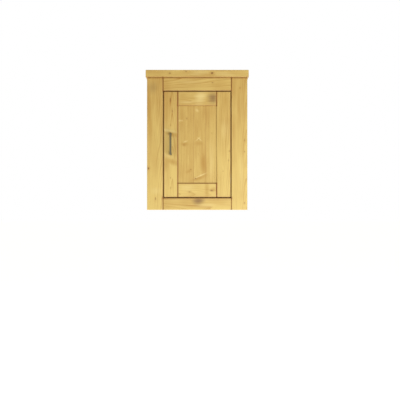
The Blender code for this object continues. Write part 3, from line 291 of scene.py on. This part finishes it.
def pine(name, grain="Z", seed=0.0, tone=0.0, shade_gradient=0.0, pith=(0.02, 0.07), spacing=3.4, knots=(),
         patches=(), dark_marks=(), seams=(), seam_side="x", tones=()):
    """One board's wood. Places and sizes are in metres, and radii in millimetres.

    tone: darker above 0. The argument after tone is painted shade: how much darker the board gets for each
    metre up, for
    the light that comes from below. pith: across, and in from the handle's front. spacing: of the year rings,
    in
    millimetres. knots: (x, z, radius, stretch along the grain, strength). patches: (colour, strength, (x, z),
    (half width, half height), degrees turned from level). The argument after patches takes the painted shade
    lines along joints, gaps and the panel's recess. seams: where staves meet along seam_side, with a tone for
    each stave.
    """
    material, n, shader = new_material(name)
    place = n.add("ShaderNodeTexCoord").outputs["Object"]
    axes = dict(zip("xyz", n.separate(place), strict=True))
    x, through, z = axes.values()
    across, along = (x, z) if grain == "Z" else (z, x)

    swaps = ((k[0:2] if grain == "Z" else k[1::-1], *k[2:]) for k in knots)
    heart, rim, halo, push = knots_in(n, across, along, seed, swaps)
    near_face = n.smooth(through, face + KNOT_DEPTH, face + 0.6 * KNOT_DEPTH)
    if knots:
        heart, rim, halo, push = (n.math("MULTIPLY", field, near_face) for field in (heart, rim, halo, push))
    # Painted shade: each board darker towards the top, as the light comes from below, on top of its own tone
    shade = n.math("MULTIPLY_ADD", n.math("SUBTRACT", z, SHADE_GRADIENT_MIDDLE), shade_gradient, tone)
    glue_line = 0.0
    if seams:
        along, shade, glue_line = staves(n, axes[seam_side], along, shade, seed, seams, tones)
    across = n.math("SUBTRACT", across, push)

    moved = n.vector("ADD", n.combine(across, through, along), (seed * 0.37, seed * 0.11, seed * 0.73))
    sway = n.noise(n.stretch(moved, 0.11), SWAY_SCALE, 2.0)[1]
    sway = n.vector("MULTIPLY", n.vector("SUBTRACT", sway, (0.5, 0.5, 0.5)), (SWAY, SWAY, 0.0))
    late = year_rings(n, across, through, along, sway, pith, spacing)
    streaks = n.noise(n.stretch(n.vector("ADD", moved, sway), 0.035), STREAK_SCALE, 3.0, 0.6)[0]
    fibres = n.noise(n.stretch(moved, 0.02), FIBRE_SCALE, 2.0, 0.6)[0]
    broad = n.noise(n.stretch(moved, 0.35), BROAD_SCALE, 2.0, 0.5)[0]
    ducts = n.smooth(n.noise(n.stretch(moved, 0.09), DUCT_SCALE, 0.0)[0], 0.70, 0.80)

    dark = n.math("MULTIPLY_ADD", late, LATE_WEIGHT, n.math("ADD", MEAN_TONE, shade))
    for field, weight in ((streaks, STREAK_WEIGHT), (broad, BROAD_WEIGHT), (fibres, FIBRE_WEIGHT)):
        dark = n.math("MULTIPLY_ADD", n.math("SUBTRACT", field, 0.5), weight, dark)
    dark = n.math("MULTIPLY_ADD", halo, HALO_WEIGHT, dark, clamp=True)
    colour = n.mix(dark, EARLYWOOD, LATEWOOD)
    colour = n.mix(n.math("MULTIPLY", ducts, DUCT_SHARE), colour, RESIN)
    colour = add_patches(n, colour, x, z, streaks, near_face, patches)
    colour = n.mix(n.math("MULTIPLY", heart, 0.85), colour, KNOT_HEART)
    colour = n.mix(n.math("MULTIPLY", rim, 0.8), colour, KNOT_RIM)
    normal = n.separate(n.add("ShaderNodeNewGeometry").outputs["True Normal"])
    end_face = n.smooth(n.math("ABSOLUTE", normal[2] if grain == "Z" else normal[0]), 0.6, 0.9)
    colour = n.mix(n.math("MULTIPLY", end_face, 0.5), colour, END_GRAIN)
    colour = n.mix(n.math("MULTIPLY", glue_line, GLUE_LINE_SHARE), colour, SEAM_STAIN_AND_SHADE)
    # Painted shade lines go over the wood's colour
    n.put(shader.inputs["Base Color"], add_shade_lines(n, colour, place, dark_marks))

    rough = n.math("MULTIPLY_ADD", fibres, 0.16, WOOD_ROUGHNESS)
    n.put(shader.inputs["Roughness"], n.math("MULTIPLY_ADD", end_face, 0.2, rough))
    shader.inputs["Specular IOR Level"].default_value = WOOD_SPECULAR
    height = n.math("MULTIPLY_ADD", late, 0.5, n.math("MULTIPLY", fibres, 0.6))
    height = n.math("MULTIPLY_ADD", ducts, -0.5, height)
    height = n.math("MULTIPLY_ADD", heart, -0.4, height)
    bump = n.add("ShaderNodeBump", {"Height": height, "Distance": WOOD_BUMP, "Strength": 0.6})
    n.put(shader.inputs["Normal"], bump.outputs[0])
    return material


def steel(name, colour, roughness, along=2, brushed=0.5):
    """Metal with fine brush lines along one axis, and slight stains."""
    material, n, shader = new_material(name)
    place = n.add("ShaderNodeTexCoord").outputs["Object"]
    squeeze = [1.0, 1.0, 1.0]
    squeeze[along] = 0.02
    lines = n.noise(n.vector("MULTIPLY", place, tuple(squeeze)), 2600.0, 3.0, 0.7)[0]
    dark_marks = n.noise(place, 120.0, 2.0)[0]
    darker = tuple(0.72 * part for part in colour[:3]) + (1,)
    share = n.math("MULTIPLY_ADD", lines, 0.5, n.math("MULTIPLY", dark_marks, 0.4), clamp=True)
    n.put(shader.inputs["Base Color"], n.mix(share, colour, darker))
    shader.inputs["Metallic"].default_value = 1.0
    wear = n.math("MULTIPLY_ADD", lines, 0.18, roughness - 0.09)
    n.put(shader.inputs["Roughness"], n.math("MULTIPLY_ADD", dark_marks, 0.10, wear))
    bump = n.add("ShaderNodeBump", {"Height": lines, "Distance": 0.00008, "Strength": brushed})
    n.put(shader.inputs["Normal"], bump.outputs[0])
    return material


def moulded(name, colour, roughness):
    """Matt plastic or rubber with a fine moulded grain."""
    material, n, shader = new_material(name)
    place = n.add("ShaderNodeTexCoord").outputs["Object"]
    speckle = n.noise(place, 2200.0, 2.0)[0]
    cloud = n.noise(place, 90.0, 2.0)[0]
    darker = tuple(0.85 * part for part in colour[:3]) + (1,)
    n.put(shader.inputs["Base Color"], n.mix(cloud, colour, darker))
    n.put(shader.inputs["Roughness"], n.math("MULTIPLY_ADD", speckle, 0.2, roughness - 0.1))
    bump = n.add("ShaderNodeBump", {"Height": speckle, "Distance": 0.0001, "Strength": 0.3})
    n.put(shader.inputs["Normal"], bump.outputs[0])
    return material


def dress(names, material):
    """Give each of these CAD nodes the material."""
    for name in names:
        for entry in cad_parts[name].material_slots:
            entry.material = material


def add_area(name, location, target, size, power, colour=(1, 1, 1)):
    data = bpy.data.lights.new(name, "AREA")
    data.shape = "RECTANGLE"
    data.size, data.size_y = size
    data.energy = power
    data.color = colour
    light = bpy.data.objects.new(name, data)
    light.location = location
    light.rotation_euler = (Vector(target) - Vector(location)).to_track_quat("-Z", "Y").to_euler()
    bpy.context.scene.collection.objects.link(light)


def add_floor():
    floor_mesh = bpy.data.meshes.new("floor")
    half = FLOOR_SIZE / 2
    floor_z = cabinet_low.z - FLOOR_DROP
    corners = [(x, y, floor_z) for x, y in ((-half, -half), (half, -half), (half, half), (-half, half))]
    floor_mesh.from_pydata(corners, [], [(0, 1, 2, 3)])
    floor = bpy.data.objects.new("floor", floor_mesh)
    bpy.context.scene.collection.objects.link(floor)
    material, _, shader = new_material("pale_floor")
    shader.inputs["Base Color"].default_value = (FLOOR_GREY, FLOOR_GREY, FLOOR_GREY, 1)
    shader.inputs["Roughness"].default_value = 0.9
    shader.inputs["Emission Color"].default_value = WHITE
    shader.inputs["Emission Strength"].default_value = FLOOR_GLOW
    floor_mesh.materials.append(material)


def add_studio():
    """White to the camera, a soft warm light all round, and softboxes. The key is low, on the right."""
    scene = bpy.context.scene
    scene.view_settings.view_transform = "Standard"
    world = bpy.data.worlds.new("studio")
    world.use_nodes = True
    scene.world = world
    n = Tree(world.node_tree)
    background = world.node_tree.nodes.get("Background") or n.add("ShaderNodeBackground")
    sight = n.add("ShaderNodeLightPath").outputs["Is Camera Ray"]
    n.put(background.inputs["Color"], n.mix(sight, WARM_AMBIENT, WHITE))
    n.put(background.inputs["Strength"], n.math("MULTIPLY_ADD", sight, 1.0 - AMBIENT, AMBIENT))

    target = (0.0, cabinet_low.y, cabinet_middle.z)
    add_area("low_softbox", (0.75, -1.6, -1.15), target, (1.6, 1.6), 24.0, KEY_COLOUR)
    # The other three lie behind the face's plane, so they light the other sides and leave the front alone
    add_area("top_softbox", (0.0, 0.25, 1.6), (0.0, 0.25, 0.0), (0.9, 0.9), 16.0, FILL_COLOUR)
    add_area("back_softbox", (0.5, 2.4, 0.4), (0.0, 0.0, cabinet_middle.z), (1.2, 1.2), 26.0, FILL_COLOUR)
    add_area("side_softbox", (-2.4, 0.45, 0.0), (0.0, 0.45, cabinet_middle.z), (1.2, 1.2), 22.0, FILL_COLOUR)


def painted_shade_lines():
    """Painted shade: the brown lines along the front's joints and gaps, under the cap and round the panel's
    recess, where shade falls. In the joints' grooves they also stand for wax.

    Each is (x from, to), (z from, to), strength, reach in millimetres, colour.
    """
    opening_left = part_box("frame_stile_left")[1].x
    opening_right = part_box("frame_stile_right")[0].x
    opening_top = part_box("frame_rail_top")[0].z
    opening_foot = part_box("frame_rail_bottom")[1].z
    door_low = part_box("door_stile_free")[0]
    door_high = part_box("door_stile_hinge")[1]
    panel_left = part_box("door_stile_free")[1].x
    panel_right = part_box("door_stile_hinge")[0].x
    panel_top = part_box("door_rail_top")[0].z
    panel_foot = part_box("door_rail_bottom")[1].z
    body_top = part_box("frame_stile_left")[1].z
    body_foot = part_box("frame_stile_left")[0].z
    cap_low, cap_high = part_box("cap_board")

    def upright(x, low, high, strength, reach=4.5, shade_colour=SEAM_STAIN_AND_SHADE):
        return (x, x), (low, high), strength, reach, shade_colour

    def level(z, left, right, strength, reach=4.5, shade_colour=SEAM_STAIN_AND_SHADE):
        return (left, right), (z, z), strength, reach, shade_colour

    return [
        # Painted shadow under the cap's overhang
        level(cap_low.z, cap_low.x, cap_high.x, 0.6, 5.5),
        # Painted shade in the grooves where the frame's stiles meet its rails, with wax there too
        upright(opening_left, opening_top, body_top, 0.85, 6.0),
        upright(opening_right, opening_top, body_top, 0.85, 5.0),
        upright(opening_left, body_foot, opening_foot, 0.8, 5.0),
        upright(opening_right, body_foot, opening_foot, 0.7, 5.0),
        # Painted shade in the door's gap, on the frame's and the door's edges
        upright(opening_left, opening_foot, opening_top, 0.35, 4.5, GAP_SHADE),
        upright(opening_right, opening_foot, opening_top, 0.30, 4.5, GAP_SHADE),
        level(opening_top, opening_left, opening_right, 0.40, 4.5, GAP_SHADE),
        level(opening_foot, opening_left, opening_right, 0.45, 5.0, GAP_SHADE),
        # A wide band of painted shade across the foot of the opening
        level(opening_foot, opening_left, opening_right, 0.35, 16.0),
        upright(door_low.x, door_low.z, door_high.z, 0.6, 5.0, GAP_SHADE),
        upright(door_high.x, door_low.z, door_high.z, 0.35, 4.5, GAP_SHADE),
        level(door_high.z, door_low.x, door_high.x, 0.5, 5.0, GAP_SHADE),
        level(door_low.z, door_low.x, door_high.x, 0.35, 4.5, GAP_SHADE),
        # Painted shade in the grooves where the door's stiles meet its rails, with wax there too
        upright(panel_left, panel_top, door_high.z, 1.0, 6.5),
        upright(panel_right, panel_top, door_high.z, 0.75, 6.5),
        upright(panel_left, door_low.z, panel_foot, 0.9, 6.0),
        upright(panel_right, door_low.z, panel_foot, 1.0, 6.0),
        # Painted shade round the recessed panel, beside and under the stiles and rails
        upright(panel_left, panel_foot, panel_top, 0.85, 5.5),
        upright(panel_right, panel_foot, panel_top, 0.05),
        level(panel_top, panel_left, panel_right, 0.30, 6.0),
        level(panel_foot, panel_left, panel_right, 0.75, 5.0),
    ]


def shade_lines_reaching(name, lines):
    """The painted shade lines that reach this node's front face."""
    low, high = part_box(name)
    close = []
    for line in lines:
        (from_x, to_x), (from_z, to_z) = line[:2]
        beside = from_x <= high.x + SEAM_GAP and to_x >= low.x - SEAM_GAP
        level = from_z <= high.z + SEAM_GAP and to_z >= low.z - SEAM_GAP
        if beside and level:
            close.append(line)
    return close


# Each front board's wood, with the marks that it shows and the painted shade that darkens it upwards. See
# pine for what the values are.
FACE_BOARDS = {
    "cap_board": dict(
        grain="X", seed=1.0, tone=-0.08, pith=(0.10, 0.02),
        knots=(
            (-0.132, 0.052, 2.6, 1.6, 0.6), (0.072, 0.053, 3.0, 1.5, 1.0), (-0.054, 0.062, 2.4, 2.0, 0.45),
        ),
        patches=(
            (AMBER, 0.35, (-0.20, 0.05), (0.09, 0.05), 0),
            (PALE, 0.35, (0.01, 0.055), (0.06, 0.02), 3),
            (AMBER, 0.35, (0.045, 0.045), (0.05, 0.008), -6),
            (AMBER, 0.30, (-0.10, 0.048), (0.06, 0.008), 4),
            (PALE, 0.30, (0.13, 0.048), (0.06, 0.014), -3),
        ),
    ),
    "frame_rail_top": dict(
        grain="X", seed=2.0, tone=-0.02, pith=(0.03, 0.09), spacing=3.8,
        knots=((0.074, 0.009, 2.0, 1.5, 0.5),),
        patches=(
            (AMBER, 0.40, (-0.155, 0.0), (0.035, 0.06), 0),
            (AMBER, 0.30, (0.11, 0.0), (0.07, 0.05), 0),
            (PALE, 0.25, (-0.03, 0.012), (0.08, 0.010), 0),
        ),
    ),
    "frame_rail_bottom": dict(
        grain="X", seed=3.0, tone=-0.12, pith=(-0.60, 0.08),
        patches=(
            (AMBER, 0.30, (-0.05, -0.565), (0.085, 0.020), 12),
            (AMBER, 0.25, (-0.155, -0.58), (0.05, 0.06), 0),
            (AMBER, 0.30, (0.11, -0.565), (0.06, 0.03), -8),
            (PALE, 0.40, (0.04, -0.585), (0.06, 0.012), 0),
            (GREYED, 1.0, (0.006, -0.563), (0.036, 0.026), 20),
        ),
    ),
    "frame_stile_left": dict(
        seed=4.0, tone=-0.02, shade_gradient=1.0, pith=(-0.16, 0.10),
        patches=(
            (GREYED, 0.40, (-0.214, -0.015), (0.030, 0.035), 0),
            (AMBER, 0.60, (-0.232, -0.13), (0.014, 0.18), 3),
            (AMBER, 0.25, (-0.20, -0.36), (0.014, 0.12), -3),
            (PALE, 0.35, (-0.20, -0.515), (0.03, 0.02), 0),
        ),
        knots=(
            (-0.236, -0.406, 3.0, 1.3, 0.9), (-0.201, -0.552, 2.0, 2.6, 0.6), (-0.19, -0.36, 1.6, 1.5, 0.2),
        ),
    ),
    "frame_stile_right": dict(
        seed=5.0, tone=-0.02, shade_gradient=0.72, pith=(0.25, 0.11),
        patches=(
            (AMBER, 0.25, (0.205, -0.12), (0.010, 0.12), 2),
            (PALE, 0.25, (0.215, -0.43), (0.012, 0.12), 0),
        ),
        knots=(
            (0.207, -0.017, 1.7, 1.5, 0.45), (0.229, -0.27, 1.8, 1.5, 0.45),
            (0.229, -0.325, 1.8, 1.5, 0.45), (0.229, -0.573, 2.0, 1.5, 0.55),
        ),
    ),
    "door_stile_free": dict(
        seed=6.0, tone=-0.02, shade_gradient=1.1, pith=(-0.12, 0.06),
        patches=(
            (AMBER, 0.45, (-0.150, -0.11), (0.010, 0.12), 0),
            (PALE, 0.60, (-0.138, -0.224), (0.045, 0.009), -12),
            (AMBER, 0.55, (-0.115, -0.243), (0.050, 0.014), -12),
            (AMBER, 0.20, (-0.105, -0.300), (0.022, 0.045), 0),
            (PALE, 0.35, (-0.145, -0.345), (0.030, 0.014), -30),
            (AMBER, 0.60, (-0.115, -0.376), (0.040, 0.018), -20),
            (AMBER, 0.50, (-0.150, -0.385), (0.018, 0.050), 0),
        ),
        knots=(
            (-0.13, -0.075, 1.8, 4.0, 0.7), (-0.12, -0.13, 1.7, 3.0, 0.5), (-0.129, -0.197, 1.6, 1.6, 0.35),
            (-0.129, -0.452, 1.8, 1.4, 0.4), (-0.129, -0.501, 1.8, 1.4, 0.4),
        ),
    ),
    "door_stile_hinge": dict(
        seed=7.0, tone=-0.04, shade_gradient=0.85, pith=(0.16, 0.08),
        patches=(
            (AMBER, 0.35, (0.140, -0.08), (0.020, 0.06), 0),
            (PALE, 0.25, (0.135, -0.22), (0.03, 0.05), 0),
        ),
        knots=(
            (0.157, -0.322, 2.8, 0.6, 0.6), (0.152, -0.367, 1.6, 1.4, 0.4), (0.125, -0.42, 1.5, 1.4, 0.35),
        ),
    ),
    "door_rail_top": dict(
        grain="X", seed=8.0, tone=-0.02, pith=(-0.08, 0.05),
        patches=(
            (AMBER, 0.30, (-0.070, -0.055), (0.030, 0.02), 0),
            (PALE, 0.75, (0.016, -0.062), (0.045, 0.032), 60),
            (PALE, 0.45, (-0.045, -0.085), (0.050, 0.008), 0),
            (GREYED, 0.95, (0.076, -0.066), (0.034, 0.036), 35),
        ),
    ),
    "door_rail_bottom": dict(
        grain="X", seed=9.0, tone=-0.15, pith=(-0.53, 0.07),
        patches=(
            (AMBER, 0.55, (0.047, -0.510), (0.014, 0.05), 0),
            (AMBER, 0.50, (0.078, -0.508), (0.022, 0.012), 10),
            (GREYED, 0.45, (0.070, -0.513), (0.012, 0.006), 0),
            (PALE, 0.40, (-0.05, -0.50), (0.05, 0.02), 0),
        ),
        knots=((-0.038, -0.52, 2.0, 1.8, 0.5), (0.07, -0.513, 2.2, 1.8, 0.6)),
    ),
    "door_panel": dict(
        seed=10.0, shade_gradient=0.40, seams=(-0.017, 0.042), tones=(0.08, 0.11, 0.07), pith=(0.13, 0.05),
        patches=(
            (AMBER, 0.35, (-0.075, -0.14), (0.016, 0.07), 0),
            (PALE, 0.50, (-0.080, -0.174), (0.016, 0.006), 0),
            (PALE, 0.55, (0.000, -0.125), (0.008, 0.012), 45),
            (AMBER, 0.60, (-0.062, -0.288), (0.024, 0.014), 0),
            (PALE, 0.60, (-0.058, -0.276), (0.014, 0.005), 20),
            (AMBER, 0.45, (0.008, -0.285), (0.026, 0.014), 0),
            (PALE, 0.50, (0.003, -0.264), (0.022, 0.004), 40),
            (PALE, 0.50, (0.012, -0.264), (0.022, 0.004), -40),
            (AMBER, 0.80, (0.031, -0.385), (0.020, 0.075), 4),
            (AMBER, 0.70, (0.010, -0.452), (0.050, 0.014), 20),
            (PALE, 0.85, (0.018, -0.440), (0.038, 0.0045), 24),
            (AMBER, 0.50, (-0.040, -0.420), (0.020, 0.010), 20),
            (PALE, 0.30, (0.070, -0.37), (0.016, 0.12), 0),
        ),
        knots=(
            (-0.05, -0.164, 1.8, 1.8, 0.5), (-0.064, -0.292, 2.2, 0.6, 0.5), (-0.031, -0.411, 2.0, 0.8, 0.55),
            (0.007, -0.267, 1.6, 0.8, 0.5), (-0.008, -0.455, 2.6, 0.6, 0.8), (0.071, -0.235, 1.5, 1.2, 0.2),
        ),
    ),
}


def paint_face():
    """The face frame, the cap and the door."""
    # Lines of painted shade along the front's joints, gaps and recesses
    lines = painted_shade_lines()
    for name, recipe in FACE_BOARDS.items():
        dress([name], pine(name, dark_marks=shade_lines_reaching(name, lines), **recipe))


def paint_case():
    """The sides, floor, shelf, back, rails and laths: plainer, and of glued staves where they are wide."""
    wide = dict(seams=(-0.225, -0.16, -0.09), seam_side="y", pith=(0.0, 0.2))
    for name, seed in (("side_left", 11.0), ("side_right", 12.0)):
        dress([name], pine(name, seed=seed, **wide))
    for name, seed in (("floor_panel", 13.0), ("shelf", 14.0)):
        dress([name], pine(name, grain="X", seed=seed, **wide))
    for number in range(1, 6):
        name = f"back_board_{number}"
        dress([name], pine(name, seed=20.0 + number, tone=0.05, pith=(0.1 * number - 0.3, 0.4)))
    dress(["hanging_rail"], pine("hanging_rail", grain="X", seed=31.0, pith=(0.05, 0.4)))
    dress(["lower_rail"], pine("lower_rail", grain="X", seed=32.0, pith=(-0.5, 0.4)))
    dress(["hinge_lath"], pine("hinge_lath", seed=33.0, pith=(0.2, 0.1)))
    dress(["stop_lath"], pine("stop_lath", seed=34.0, pith=(-0.2, 0.1)))


def paint_hardware():
    """The handle, hinges, screws, pins, hangers, catch and bumpers."""
    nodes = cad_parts
    dress(["handle"], steel("dark_steel", (0.235, 0.205, 0.125, 1), 0.36, along=2))
    nickel = steel("nickelled_steel", (0.66, 0.64, 0.59, 1), 0.28, along=2, brushed=0.2)
    zinc = steel("zinc_steel", (0.58, 0.58, 0.56, 1), 0.40, along=2, brushed=0.3)
    dress([node for node in nodes if node.startswith("hanger")], zinc)
    hinge = ("hinge_cup", "hinge_arm", "hinge_pin", "hinge_plate", "cup_screw", "plate_screw", "arm_screw")
    nickelled = (*hinge, "shelf_pin", "handle_screw", "catch_strike")
    dress([node for node in nodes if node.startswith(nickelled)], nickel)
    dress(["catch_magnet"], moulded("catch_plastic", (0.72, 0.71, 0.67, 1), 0.45))
    dress(["bumper_upper", "bumper_lower"], moulded("clear_rubber", (0.70, 0.70, 0.68, 1), 0.5))


add_camera()
add_floor()
add_studio()
paint_face()
paint_case()
paint_hardware()
